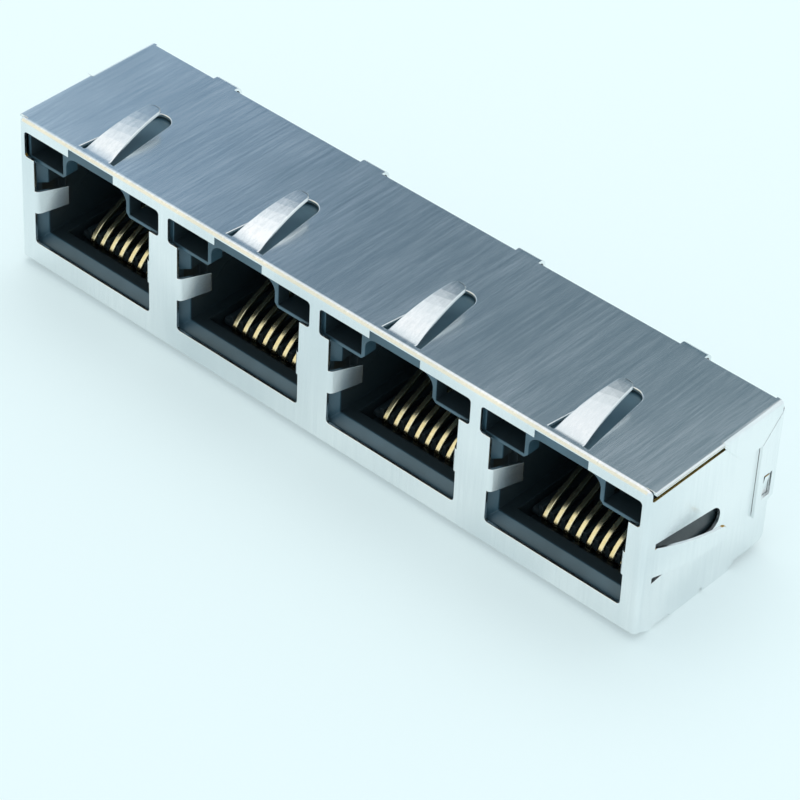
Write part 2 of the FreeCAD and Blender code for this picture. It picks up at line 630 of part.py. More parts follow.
# Ground legs, one on each side wall
leg_rear = s.leg_setback + s.leg_root
leg_middle = s.leg_setback + s.leg_root / 2
leg_near = leg_middle - s.leg_width / 2
leg_far = leg_middle + s.leg_width / 2
leg_point = s.leg_width / 4
leg = prism("leg", "YZ", (inner_half, half_width),
            [(s.leg_setback, s.relief_height), (leg_rear, s.relief_height), (leg_rear, -s.leg_shoulder / 2),
             (leg_far, -s.leg_shoulder), (leg_far, leg_point * 2 - s.leg_length),
             (leg_middle + leg_point, -s.leg_length), (leg_middle - leg_point, -s.leg_length),
             (leg_near, leg_point * 2 - s.leg_length), (leg_near, -s.leg_shoulder),
             (s.leg_setback, -s.leg_shoulder / 2)])
shield_parts.append(leg)
shield_parts.append(copy_at("left_leg", leg, -(inner_half + half_width)))

shield_cuts = fuse("shield_cuts", shield_tools)
# The top slots go through the wide top panel too
whole_shell = fuse("whole_shell", [cut("open_shell", shell, edge_gaps), top_panel])
cut_shell = cut("cut_shell", whole_shell, shield_cuts)
front_shield = fuse("front_shield", [cut_shell] + shield_parts)

# Rear shield: a panel with a flange at each end, folded forward over the side wall
rear_block = block("rear_block", (-lap_outer, lap_outer), (flange_front, rear_outer), (s.panel_lift, panel_top))
rear_round = round_edges("rear_round", rear_block, s.bend_radius,
                         lambda point: abs(abs(point.x) - lap_outer.value) < NEAR
                         and abs(point.y - rear_outer.value) < NEAR)
rear_core = block("rear_core", (-lap_inner, lap_inner), (0, rear_inner), (-PAST, top_outer + PAST))
core_corners = round_edges("core_corners", rear_core, s.bend_radius - s.sheet_gauge,
                           lambda point: abs(abs(point.x) - lap_inner.value) < NEAR
                           and abs(point.y - rear_inner.value) < NEAR)
rear_shell = cut("rear_shell", rear_round, core_corners)
# The flange's upper end is cut along the flap's mitre, one seam away from it
mitre = prism("mitre", "YZ", across,
              [(flange_front - PAST, s.flap_foot - PAST - s.seam_gap), (flange_front, s.flap_foot - s.seam_gap),
               (seam_end + s.seam_gap, panel_top), (seam_end + s.seam_gap, panel_top + PAST),
               (flange_front - PAST, panel_top + PAST)])
flange_cut = prism("flange_cut", "YZ", across,
                   [(flange_front - PAST, s.flange_foot - s.flange_slope),
                    (flange_front, s.flange_foot - s.flange_slope),
                    (rear_inner - s.bend_radius / 2, s.flange_foot), (rear_inner - s.bend_radius / 2, -PAST),
                    (flange_front - PAST, -PAST)])
lower_cuts = []
for side_name, low, high in (("right", half_width - s.panel_inset, lap_outer + PAST),
                             ("left", -lap_outer - PAST, -half_width + s.panel_inset)):
    lower_cuts.append(block(side_name + "_lower_cut", (low, high),
                            (rear_inner - s.bend_radius / 2, rear_outer + PAST), (-PAST, s.flange_foot)))
latch_window = block("latch_window", across, (latch_start, latch_end), (s.latch_sill, s.latch_sill + s.latch_height))
rear_cuts = fuse("rear_cuts", [mitre, flange_cut, latch_window] + lower_cuts)
rear_shield = cut("rear_shield", rear_shell, rear_cuts)

# Housing: one moulding with a cavity, a latch channel and two lamp pockets for each port
housing_block = block("housing_block", (-housing_half, housing_half), (housing_front, housing_rear),
                      (s.housing_lift, housing_top))
channel_half = s.latch_channel / 2
cavity_half = s.plug_width / 2
bezel_rear = housing_front + s.bezel_depth
bezel_mouth = prism("bezel_mouth", "XZ", (housing_front - PAST, bezel_rear),
                    [(-cavity_half, s.plug_floor), (cavity_half, s.plug_floor), (cavity_half, plug_ceiling),
                     (channel_half + s.channel_chamfer, plug_ceiling), (channel_half, plug_ceiling + s.channel_chamfer),
                     (channel_half, pocket_roof - s.channel_corner), (channel_half - s.channel_corner, pocket_roof),
                     (s.channel_corner - channel_half, pocket_roof), (-channel_half, pocket_roof - s.channel_corner),
                     (-channel_half, plug_ceiling + s.channel_chamfer),
                     (-channel_half - s.channel_chamfer, plug_ceiling), (-cavity_half, plug_ceiling)],
                    {5: ((channel_half - s.channel_corner, pocket_roof - s.channel_corner), s.channel_corner),
                     7: ((s.channel_corner - channel_half, pocket_roof - s.channel_corner), s.channel_corner)})
cavity = block("cavity", (-cavity_half, cavity_half), (bezel_rear - s.bezel_depth / 2, plug_stop),
               (s.plug_floor, plug_ceiling))
inner_channel = channel_half + s.channel_step
channel = block("channel", (-inner_channel, inner_channel), (bezel_rear, housing_front + s.channel_depth),
                (plug_ceiling - s.lamp_shelf, pocket_roof))
# Sloped mouth of the cavity
mouth = doc.addObject("Part::Wedge", "mouth")
for wedge_name, wedge_size in (("Xmin", -cavity_half - s.lead_in), ("Xmax", cavity_half + s.lead_in),
                               ("Zmin", s.plug_floor - s.lead_in), ("Zmax", plug_ceiling),
                               ("X2min", -cavity_half), ("X2max", cavity_half),
                               ("Z2min", s.plug_floor), ("Z2max", plug_ceiling),
                               ("Ymin", housing_front), ("Ymax", housing_front + s.lead_in_depth)):
    tie(mouth, wedge_name, wedge_size)
port_tools = [bezel_mouth, cavity, channel, mouth]
for side_name, sign in (("right", 1), ("left", -1)):
    near, far = sorted((pocket_inner * sign, pocket_outer * sign), key=lambda size: size.value)
    port_tools.append(block(side_name + "_window", (near, far), (housing_front - PAST, bezel_rear + PAST / 2),
                            (pocket_floor, pocket_roof)))
    near, far = sorted(((pocket_inner + s.channel_step) * sign, pocket_outer * sign), key=lambda size: size.value)
    port_tools.append(block(side_name + "_pocket", (near, far), (bezel_rear, housing_front + s.lamp_depth),
                            (pocket_floor, pocket_roof)))
    near, far = sorted(((cavity_half - PAST) * sign, (cavity_half + s.tab_recess) * sign), key=lambda size: size.value)
    port_tools.append(block(side_name + "_recess", (near, far), (housing_front - PAST, housing_front + s.tab_recess_depth),
                            (s.tab_sill - s.tab_room, tab_top + s.tab_room)))
# Room for the contact insert, which goes in from the rear
bay_half = s.insert_width / 2 + s.insert_gap
hollow_half = s.tongue_width / 2 + s.tongue_side_gap
hollow_floor = tongue_top - s.tongue_room
foot_top = s.housing_lift + s.insert_gap + s.foot_height
port_tools.append(block("insert_bay", (-bay_half, bay_half), (plug_stop - s.insert_gap, housing_rear + PAST),
                        (s.housing_lift - PAST, s.housing_lift + s.insert_height + s.insert_gap * 2)))
port_tools.append(block("foot_bay", (-bay_half, bay_half), (block_front - s.insert_foot - s.insert_gap, plug_stop),
                        (s.housing_lift - PAST, hollow_floor + s.insert_gap)))
port_tools.append(block("contact_hollow", (-hollow_half, hollow_half), (housing_front + s.floor_depth, plug_stop),
                        (hollow_floor, s.plug_floor + s.insert_gap)))
port_void = fuse("port_void", port_tools)
voids = fuse("voids", [copy_at("void_%d" % (port + 1), port_void, port_x(port)) for port in range(PORTS)])
hollow_block = cut("hollow_block", housing_block, voids)

# Board pegs with a seat round each, at the ends and beside the inner ports
peg_radius = s.peg_diameter / 2
tip_start = s.peg_tip - s.peg_length
peg_root = s.housing_lift + s.seat_root
peg_profile = outline("peg_profile", "XZ", [
    (0, peg_root), (s.collar_diameter / 2, peg_root), (s.collar_diameter / 2, 0), (peg_radius, 0),
    (peg_radius, tip_start), (peg_radius - s.peg_tip / 2, -s.peg_length), (0, -s.peg_length)])
peg = doc.addObject("Part::Revolution", "peg")
peg.Source = peg_profile
peg.Axis = FreeCAD.Vector(0, 0, 1)
peg.Angle = 360
peg.Solid = True
pegs = []
for port in (0, PORTS - 1):
    outward = -1 if port == 0 else 1
    pegs.append((port_x(port) + s.peg_offset * outward))
    if PORTS > 2:
        pegs.append((port_x(port - outward) + s.peg_offset * outward))
feet = [copy_at("peg_%d" % (index + 1), peg, peg_x, s.peg_setback) for index, peg_x in enumerate(pegs)]
feet.append(block("middle_seat", (-s.pad_width / 2, s.pad_width / 2),
                  (s.peg_setback - s.pad_length / 2, s.peg_setback + s.pad_length / 2), (0, peg_root)))
# The end seats stop at the moulding's own sides
foot_limit = block("foot_limit", (-housing_half, housing_half), (0, housing_rear), (-s.peg_length - PAST, housing_top))
trimmed_feet = overlap("trimmed_feet", fuse("feet", feet), foot_limit)
housing = fuse("housing", [hollow_block, trimmed_feet])

# Contact insert: block, foot, tongue, guide ribs and comb, with slots for the tails
insert_half = s.insert_width / 2
tongue_half = s.tongue_width / 2
insert_bottom = s.housing_lift
insert_block = block("insert_block", (-insert_half, insert_half), (block_front, housing_rear - s.insert_recess),
                     (insert_bottom, insert_bottom + s.insert_height))
insert_foot = block("insert_foot", (-insert_half, insert_half), (block_front - s.insert_foot, block_front),
                    (insert_bottom, insert_bottom + s.foot_height))
nose = (s.contact_setback, bend_height)
nose_radius = s.tongue_gauge / 2
tongue = prism("tongue", "YZ", (-tongue_half, tongue_half),
               [(s.contact_setback, tongue_bottom), (block_front + PAST / 2, tongue_bottom),
                (block_front + PAST / 2, tongue_top), (s.contact_setback, tongue_top),
                (s.contact_setback - nose_radius, bend_height)],
               {3: (nose, nose_radius), 4: (nose, nose_radius)})
insert_parts = [insert_block, insert_foot, tongue]
for gap in range(CONTACTS + 1):
    gap_x = s.contact_pitch * (gap - CONTACTS / 2)
    insert_parts.append(block("rib_%d" % gap, (gap_x - s.rib_width / 2, gap_x + s.rib_width / 2),
                              (s.contact_setback - nose_radius, s.contact_setback + s.rib_length),
                              (bend_height, s.plug_floor)))
    insert_parts.append(block("tooth_%d" % gap, (gap_x - s.comb_width / 2, gap_x + s.comb_width / 2),
                              (block_front - s.comb_depth, block_front + PAST / 2),
                              (s.plug_floor + s.comb_foot, s.plug_floor + s.comb_foot + s.comb_height)))
insert_solid = fuse("insert_solid", insert_parts)


def tail_y(contact):
    """Row of a contact's tail: odd and even contacts take turns."""
    return s.tail_row + s.row_spacing * (contact % 2)


def tail_x(contact):
    """Tail position from the middle of the port."""
    return s.tail_pitch * (contact - (CONTACTS - 1) / 2)


def contact_x(contact):
    """Contact position in the plug opening from the middle of the port."""
    return s.contact_pitch * (contact - (CONTACTS - 1) / 2)


slot_half = s.contact_width / 2 + s.tail_slack
half_gauge = s.contact_gauge / 2
tail_slots = []
for contact in range(CONTACTS):
    middle = tail_x(contact)
    row = tail_y(contact)
    tail_slots.append(block("tail_slot_%d" % contact, (middle - slot_half, middle + slot_half),
                            (row - s.tail_radius - half_gauge, row + half_gauge + s.tail_slack),
                            (-PAST, run_height + half_gauge + s.tail_slack)))
    tail_slots.append(block("run_slot_%d" % contact, (middle - slot_half, middle + slot_half),
                            (block_front - s.insert_foot - PAST, row),
                            (run_height - half_gauge - s.tail_slack, run_height + half_gauge + s.contact_slack)))
slot_tools = fuse("slot_tools", tail_slots)
for port in range(PORTS):
    insert = cut("contact_insert_%d" % (port + 1), insert_solid, slot_tools)
    place(insert, port_x(port), -s.peg_setback)

# Contacts: a beam, a wide bend, a tight one round the tongue's nose, a run below it and a tail
outer_bend = bend_middle + half_gauge
inner_bend = bend_middle - half_gauge
sweep_inner = s.sweep_radius - s.contact_gauge
sweep_offset = s.sweep_radius - outer_bend
sweep_centre = (s.contact_setback + sweep_offset * sine(s.nose_angle),
                bend_height - sweep_offset * cosine(s.nose_angle))


def bend_point(centre, radius, angle, length=0):
    """A point at a radius from a bend's centre where the contact has this slope, and a length on."""
    return (centre[0] - radius * sine(angle) + length * cosine(angle),
            centre[1] + radius * cosine(angle) + length * sine(angle))


beam_profile = prism("beam", "YZ", (-s.contact_width / 2, s.contact_width / 2),
                     [bend_point(sweep_centre, s.sweep_radius, s.beam_angle, s.beam_length),
                      bend_point(sweep_centre, s.sweep_radius, s.beam_angle),
                      bend_point(nose, outer_bend, s.nose_angle),
                      (s.contact_setback - outer_bend, bend_height), (s.contact_setback, bend_height - outer_bend),
                      (s.jog_start, bend_height - outer_bend), (s.jog_start, bend_height - inner_bend),
                      (s.contact_setback, bend_height - inner_bend), (s.contact_setback - inner_bend, bend_height),
                      bend_point(nose, inner_bend, s.nose_angle),
                      bend_point(sweep_centre, sweep_inner, s.beam_angle),
                      bend_point(sweep_centre, sweep_inner, s.beam_angle, s.beam_length)],
                     {1: (sweep_centre, s.sweep_radius), 2: (nose, outer_bend), 3: (nose, outer_bend),
                      7: (nose, inner_bend), 8: (nose, inner_bend), 9: (sweep_centre, sweep_inner)})
jog_end = s.jog_start + s.jog_length
tails = []
for row_name, row in (("first", s.tail_row), ("second", s.tail_row + s.row_spacing)):
    centre = (row - s.tail_radius, run_height - s.tail_radius)
    tails.append(prism(row_name + "_tail", "YZ", (-s.contact_width / 2, s.contact_width / 2),
                       [(jog_end, run_height + half_gauge), (row - s.tail_radius, run_height + half_gauge),
                        (row + half_gauge, run_height - s.tail_radius), (row + half_gauge, -s.tail_length),
                        (row - half_gauge, -s.tail_length), (row - half_gauge, run_height - s.tail_radius),
                        (row - s.tail_radius, run_height - half_gauge), (jog_end, run_height - half_gauge)],
                       {1: (centre, s.tail_radius + half_gauge), 5: (centre, s.tail_radius - half_gauge)}))

for contact in range(CONTACTS):
    front_x = contact_x(contact)
    rear_x = tail_x(contact)
    half_contact = s.contact_width / 2
    beam = copy_at("beam_%d" % (contact + 1), beam_profile, front_x)
    jog = prism("jog_%d" % (contact + 1), "XY", (run_height - half_gauge, run_height + half_gauge),
                [(front_x - half_contact, s.jog_start), (front_x + half_contact, s.jog_start),
                 (rear_x + half_contact, jog_end), (rear_x - half_contact, jog_end)])
    tail = copy_at("tail_%d" % (contact + 1), tails[contact % 2], rear_x)
    for port in range(PORTS):
        wire = fuse("port_%d_contact_%d" % (port + 1, contact + 1), [beam, jog, tail])
        place(wire, port_x(port), -s.peg_setback)

for piece in (front_shield, rear_shield, housing):
    place(piece, 0, -s.peg_setback)
doc.recompute()

NODES = ["front_shield", "rear_shield", "housing"]
NODES += ["contact_insert_%d" % (port + 1) for port in range(PORTS)]
NODES += ["port_%d_contact_%d" % (port + 1, contact + 1) for port in range(PORTS) for contact in range(CONTACTS)]

for thing in doc.Objects:
    if "Invalid" in thing.State or "Error" in thing.State:
        raise RuntimeError("%s did not build" % thing.Name)

os.makedirs("parts", exist_ok=True)
for node in NODES:
    piece = doc.getObject(node)
    piece.Label = node
    shape = piece.Shape
    if shape.isNull() or not shape.isValid() or len(shape.Solids) != 1:
        raise RuntimeError("%s is not one sound solid" % node)
    shape.exportStep("parts/%s.step" % node)
    print("%s %.3f mm3" % (node, shape.Volume))
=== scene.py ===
"""The look of a shielded board jack with four plug openings, lying on a pale table."""
import math

import bmesh
import bpy
from mathutils import Matrix, Quaternion, Vector
from mathutils.bvhtree import BVHTree


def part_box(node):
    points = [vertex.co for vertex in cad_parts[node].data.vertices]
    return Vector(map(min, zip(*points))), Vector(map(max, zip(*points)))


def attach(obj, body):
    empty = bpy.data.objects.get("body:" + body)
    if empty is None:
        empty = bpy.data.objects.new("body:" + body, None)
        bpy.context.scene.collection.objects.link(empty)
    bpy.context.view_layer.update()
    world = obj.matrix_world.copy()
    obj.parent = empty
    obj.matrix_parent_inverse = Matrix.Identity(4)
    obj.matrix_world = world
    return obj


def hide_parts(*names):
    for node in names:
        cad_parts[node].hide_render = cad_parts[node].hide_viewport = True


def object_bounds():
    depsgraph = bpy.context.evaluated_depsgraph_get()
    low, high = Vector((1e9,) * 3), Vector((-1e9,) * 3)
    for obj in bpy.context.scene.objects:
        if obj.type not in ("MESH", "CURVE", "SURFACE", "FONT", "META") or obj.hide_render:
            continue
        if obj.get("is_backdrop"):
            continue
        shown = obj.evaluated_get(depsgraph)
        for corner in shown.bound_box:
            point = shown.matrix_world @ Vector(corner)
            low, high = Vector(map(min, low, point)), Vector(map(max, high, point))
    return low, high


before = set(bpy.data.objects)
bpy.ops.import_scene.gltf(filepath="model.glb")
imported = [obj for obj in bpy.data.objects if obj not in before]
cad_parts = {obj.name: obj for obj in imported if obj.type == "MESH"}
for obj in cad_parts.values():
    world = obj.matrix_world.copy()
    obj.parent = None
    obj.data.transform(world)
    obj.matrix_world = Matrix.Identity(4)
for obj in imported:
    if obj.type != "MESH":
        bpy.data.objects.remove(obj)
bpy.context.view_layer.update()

# Front shield. One sheet of brass, stamped, nickel plated and folded into a cap: top panel,
# front panel, both side walls, six spring fingers, eight ground tabs and four lock tabs.
# The plating is thin and bright over the mill's rolling lines; the stamped edges show brass.
MM = 0.001
SHEET_GAUGE = 0.25 * MM
PROBE_START = SHEET_GAUGE / 50
PROBE_REACH = SHEET_GAUGE * 1.25
SHEET_EDGE = 0.03 * MM
DIE_ROLL = 0.08 * MM
MERGE = 0.0005 * MM
SHARP_TURN = math.radians(32)
FLAT_TURN = math.radians(0.3)
LINE_WIDTH = 0.26 * MM
LINE_LENGTH = 6 * MM
LINE_DEPTH = 0.003 * MM
CLOUD = 9 * MM
TEAR = 0.2 * MM
SIDE_BAND = 2.2 * MM
BARE_FROM = 6.4 * MM
BARE_SLOPE = 0.3
UPPER_SLOPE = 0.5
PORT_PITCH = 15.24 * MM
SLOT_REACH = 2 * MM
SLOT_END = 9 * MM
BEND = 0.5 * MM
FINGER_RISE = 1.4 * MM


def linear(colour):
    """An sRGB hex colour as linear red, green and blue with full alpha."""
    parts = [int(colour[start:start + 2], 16) / 255 for start in (1, 3, 5)]
    return [part / 12.92 if part <= 0.04045 else ((part + 0.055) / 1.055) ** 2.4 for part in parts] + [1]


def add(tree, kind, inputs=None, **settings):
    """Add a node. An input given as another node's output is linked, any other is set."""
    node = tree.nodes.new(kind)
    for name, value in settings.items():
        setattr(node, name, value)
    for name, value in (inputs or {}).items():
        if isinstance(value, bpy.types.NodeSocket):
            tree.links.new(value, node.inputs[name])
        else:
            node.inputs[name].default_value = value
    return node


def ramp(tree, factor, *stops):
    """Add a colour ramp. Its stops are given in order, each as a position and an sRGB hex colour."""
    node = add(tree, "ShaderNodeValToRGB", {"Fac": factor})
    points = node.color_ramp.elements
    for point, (position, colour) in ((points[0], stops[0]), (points[1], stops[-1])):
        point.position = position
        point.color = linear(colour)
    for position, colour in stops[1:-1]:
        points.new(position).color = linear(colour)
    return node


def empty_material(name):
    """A material whose node tree is emptied, and that tree."""
    material = bpy.data.materials.new(name)
    material.use_nodes = True
    material.node_tree.nodes.clear()
    return material, material.node_tree


def merged_copy(node):
    """A CAD node's mesh as one closed bmesh, without doubled corners or cuts across flat faces."""
    work = bmesh.new()
    work.from_mesh(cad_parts[node].data)
    bmesh.ops.remove_doubles(work, verts=work.verts, dist=MERGE)
    bmesh.ops.dissolve_limit(work, angle_limit=FLAT_TURN, verts=work.verts, edges=work.edges)
    return work


def finished_piece(name, node, work, edge, materials):
    """Make the piece that stands for a CAD node, with its sharp edges broken by a small round."""
    mesh = bpy.data.meshes.new(name)
    work.to_mesh(mesh)
    work.free()
    for face in mesh.polygons:
        face.use_smooth = True
    mesh.set_sharp_from_angle(angle=SHARP_TURN)
    for material in materials:
        mesh.materials.append(material)
    piece = bpy.data.objects.new(name, mesh)
    bpy.context.scene.collection.objects.link(piece)
    bevel = piece.modifiers.new("broken_edges", "BEVEL")
    bevel.width = edge
    bevel.segments = 2
    bevel.limit_method = "ANGLE"
    bevel.angle_limit = SHARP_TURN
    bevel.use_clamp_overlap = False
    bevel.harden_normals = True
    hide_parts(node)
    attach(piece, "root")
    return piece


nickel, tree = empty_material("nickel_plated_brass_rolled")
place = add(tree, "ShaderNodeTexCoord")
facing = add(tree, "ShaderNodeSeparateXYZ", {0: add(tree, "ShaderNodeNewGeometry").outputs["Normal"]})
on_top = add(tree, "ShaderNodeMath", {0: facing.outputs["Z"], 1: 0.7}, operation="GREATER_THAN")
down_front = add(tree, "ShaderNodeMapping", {"Vector": place.outputs["Object"],
                                             "Scale": (1 / LINE_WIDTH, 1 / LINE_WIDTH, 1 / LINE_LENGTH)})
along_top = add(tree, "ShaderNodeMapping", {"Vector": place.outputs["Object"],
                                            "Scale": (1 / LINE_WIDTH, 1 / LINE_LENGTH, 1 / LINE_WIDTH)})
lines_at = add(tree, "ShaderNodeMix", {0: on_top.outputs[0], 4: down_front.outputs[0],
                                       5: along_top.outputs[0]},
               data_type="VECTOR")
depth = add(tree, "ShaderNodeMapRange", {"Value": on_top.outputs[0], "To Min": 0.3, "To Max": 1.0})
waves = add(tree, "ShaderNodeTexNoise", {"Vector": lines_at.outputs[1], "Scale": 1, "Detail": 4,
                                         "Roughness": 0.7})
about = add(tree, "ShaderNodeMath", {0: waves.outputs["Fac"], 1: 0.5}, operation="SUBTRACT")
lines = add(tree, "ShaderNodeMath", {0: about.outputs[0], 1: depth.outputs[0], 2: 0.5},
            operation="MULTIPLY_ADD")
clouds = add(tree, "ShaderNodeTexNoise", {"Vector": place.outputs["Object"], "Scale": 1 / CLOUD,
                                          "Detail": 1})
shade = add(tree, "ShaderNodeMath", {0: lines.outputs[0], 1: clouds.outputs["Fac"]}, operation="MULTIPLY")
tone = ramp(tree, shade.outputs[0], (0.14, "#e0e5e7"), (0.36, "#f8f9f9"))
rough = add(tree, "ShaderNodeMapRange", {"Value": lines.outputs[0], "From Min": 0.3, "From Max": 0.7,
                                         "To Min": 0.22, "To Max": 0.27})
relief = add(tree, "ShaderNodeBump", {"Height": lines.outputs[0], "Strength": 0.1,
                                      "Distance": LINE_DEPTH})
metal = add(tree, "ShaderNodeBsdfPrincipled", {"Base Color": tone.outputs[0],
                                               "Roughness": rough.outputs[0],
                                               "Metallic": 1.0, "Normal": relief.outputs[0]})
add(tree, "ShaderNodeOutputMaterial", {"Surface": metal.outputs[0]})

brass, tree = empty_material("bare_brass_stamped_edge")
place = add(tree, "ShaderNodeTexCoord")
tear = add(tree, "ShaderNodeTexNoise", {"Vector": place.outputs["Object"], "Scale": 1 / TEAR,
                                        "Detail": 2})
tone = ramp(tree, tear.outputs["Fac"], (0.3, "#a8843c"), (0.7, "#cfae68"))
metal = add(tree, "ShaderNodeBsdfPrincipled", {"Base Color": tone.outputs[0], "Roughness": 0.55,
                                               "Metallic": 1.0})
add(tree, "ShaderNodeOutputMaterial", {"Surface": metal.outputs[0]})


def mark_bare_edges(work):
    """Give the second material to the side walls' cut edges that look up, where no sheet is behind."""
    solid = BVHTree.FromBMesh(work)
    for face in work.faces:
        inward = -face.normal
        centre = face.calc_center_median()
        behind = solid.ray_cast(centre + inward * PROBE_START, inward, PROBE_REACH)[0]
        from_end = min(centre.x - shield_low[0], shield_high[0] - centre.x)
        on_side = from_end < SIDE_BAND and centre.z > BARE_FROM
        face.material_index = 1 if on_side and face.normal.z > BARE_SLOPE and not behind else 0


def weigh_edges(work):
    """Give the rims of the top fingers and slots the wide round, other sharp edges the narrow one."""
    weight = work.edges.layers.float.new("bevel_weight_edge")
    for edge in work.edges:
        if not edge.is_manifold or edge.calc_face_angle() < SHARP_TURN:
            continue
        upper = max(face.normal.z for face in edge.link_faces) > UPPER_SLOPE
        at_slot = all(abs(corner.co.x % PORT_PITCH - PORT_PITCH / 2) < SLOT_REACH
                      and shield_low[1] + BEND < corner.co.y < shield_low[1] + SLOT_END
                      and corner.co.z > shield_high[2] - FINGER_RISE for corner in edge.verts)
        edge[weight] = 1 if upper and at_slot else SHEET_EDGE / DIE_ROLL


shield_low, shield_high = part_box("front_shield")
shield = merged_copy("front_shield")
mark_bare_edges(shield)
weigh_edges(shield)
cap = finished_piece("front_shield_sheet", "front_shield", shield, DIE_ROLL, [nickel, brass])
cap.modifiers["broken_edges"].limit_method = "WEIGHT"

# Rear shield. A second sheet of the same plated brass, folded round the back and held under
# the first one's lock tabs, with a window in each flange for the side wall's lance.
rear_sheet = merged_copy("rear_shield")
finished_piece("rear_shield_sheet", "rear_shield", rear_sheet, SHEET_EDGE, [nickel])

# Housing. One black moulding of glass-filled polyester with the four plug cavities, latch
# channels, lamp pockets and board pegs. The tool was spark eroded, so the skin is satin. The outer
# skin and the lead-in are painted a light blue-grey as sheen, and the hollows behind are painted darker
# as shade.
MOULD_EDGE = 0.05 * MM
SPARK_GRAIN = 0.12 * MM
SPARK_DEPTH = 0.004 * MM
FLOW = 4 * MM
LEAD_IN = 0.7 * MM
SHADE_FADE = 0.15 * MM
TOP_SKIN = 0.5 * MM
POCKET_SHADE_START = 1.5 * MOULD_EDGE
POCKET_START = 3.4 * MM
SHELF_MIDDLE = 9.74 * MM
PLUG_CEILING = 9.6 * MM
POCKET_FLOOR = 9.88 * MM
POCKET_ROOF = 12.45 * MM
FRAME_DEPTH = 1.2 * MM
CHANNEL_HALF = 3.2 * MM
CHANNEL_CORNER = 1.0 * MM
ARCH_HEAD = 11.75 * MM
ARCH_ROOT = 0.15 * MM
ARCH_INSET = 0.005 * MM

black, tree = empty_material("black_glass_filled_polyester")
place = add(tree, "ShaderNodeTexCoord")
grain = add(tree, "ShaderNodeTexNoise", {"Vector": place.outputs["Object"], "Scale": 1 / SPARK_GRAIN,
                                         "Detail": 3})
apart = add(tree, "ShaderNodeSeparateXYZ", {0: place.outputs["Object"]})
moulding_low, moulding_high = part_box("housing")
# Painted shade: the cavities past the lead-in (deeper where the ceiling is higher) and the lamp pockets
# past their front edge are darkened, all but the top skin.
shade_start_depth = add(tree, "ShaderNodeMapRange", {"Value": apart.outputs["Z"], "From Min": PLUG_CEILING,
                                               "From Max": POCKET_FLOOR,
                                               "To Min": moulding_low[1] + LEAD_IN,
                                               "To Max": moulding_low[1] + FRAME_DEPTH})
past = add(tree, "ShaderNodeMath", {0: apart.outputs["Y"], 1: shade_start_depth.outputs[0]},
           operation="SUBTRACT")
behind = add(tree, "ShaderNodeMapRange", {"Value": past.outputs[0], "From Max": SHADE_FADE})
below = add(tree, "ShaderNodeMath", {0: apart.outputs["Z"], 1: moulding_high[2] - TOP_SKIN},
            operation="LESS_THAN")
from_seam = add(tree, "ShaderNodeMath", {0: apart.outputs["X"], 1: PORT_PITCH / 2}, operation="PINGPONG")
beside = add(tree, "ShaderNodeMath", {0: from_seam.outputs[0], 1: PORT_PITCH / 2 - POCKET_START},
             operation="LESS_THAN")
above = add(tree, "ShaderNodeMath", {0: apart.outputs["Z"], 1: SHELF_MIDDLE}, operation="GREATER_THAN")
pocket = add(tree, "ShaderNodeMath", {0: beside.outputs[0], 1: above.outputs[0]}, operation="MULTIPLY")
inside = add(tree, "ShaderNodeMath", {0: apart.outputs["Y"], 1: moulding_low[1] + POCKET_SHADE_START},
             operation="GREATER_THAN")
pocket_shade = add(tree, "ShaderNodeMath", {0: pocket.outputs[0], 1: inside.outputs[0]}, operation="MULTIPLY")
deep = add(tree, "ShaderNodeMath", {0: pocket_shade.outputs[0], 1: behind.outputs[0]}, operation="MAXIMUM")
hollow_shade = add(tree, "ShaderNodeMath", {0: deep.outputs[0], 1: below.outputs[0]}, operation="MULTIPLY")
flow = add(tree, "ShaderNodeTexNoise", {"Vector": place.outputs["Object"], "Scale": 1 / FLOW,
                                        "Detail": 2})
# Painted sheen and shade: the outer skin gets a blue-grey much lighter than black plastic, and the
# hollows get the darker colour.
skin_tone_and_painted_sheen = ramp(tree, flow.outputs["Fac"], (0.35, "#375664"), (0.7, "#4b6a7a"))
tone = add(tree, "ShaderNodeMix", {0: hollow_shade.outputs[0], 6: skin_tone_and_painted_sheen.outputs[0], 7: linear("#27343a")},
           data_type="RGBA")
rough = add(tree, "ShaderNodeMapRange", {"Value": grain.outputs["Fac"], "From Min": 0.3, "From Max": 0.7,
                                         "To Min": 0.34, "To Max": 0.48})
relief = add(tree, "ShaderNodeBump", {"Height": grain.outputs["Fac"], "Strength": 0.3,
                                      "Distance": SPARK_DEPTH})
plastic = add(tree, "ShaderNodeBsdfPrincipled", {"Base Color": tone.outputs[2],
                                                 "Roughness": rough.outputs[0],
                                                 "IOR": 1.57, "Normal": relief.outputs[0]})
add(tree, "ShaderNodeOutputMaterial", {"Surface": plastic.outputs[0]})


def arc_corners(foot):
    """The corners of a spun arc, from its foot on."""
    corners, ahead = [foot], foot
    while True:
        beside_it = [edge.other_vert(ahead) for edge in ahead.link_edges]
        further = [corner for corner in beside_it if corner not in corners]
        if not further:
            return corners
        ahead = further[0]
        corners.append(ahead)


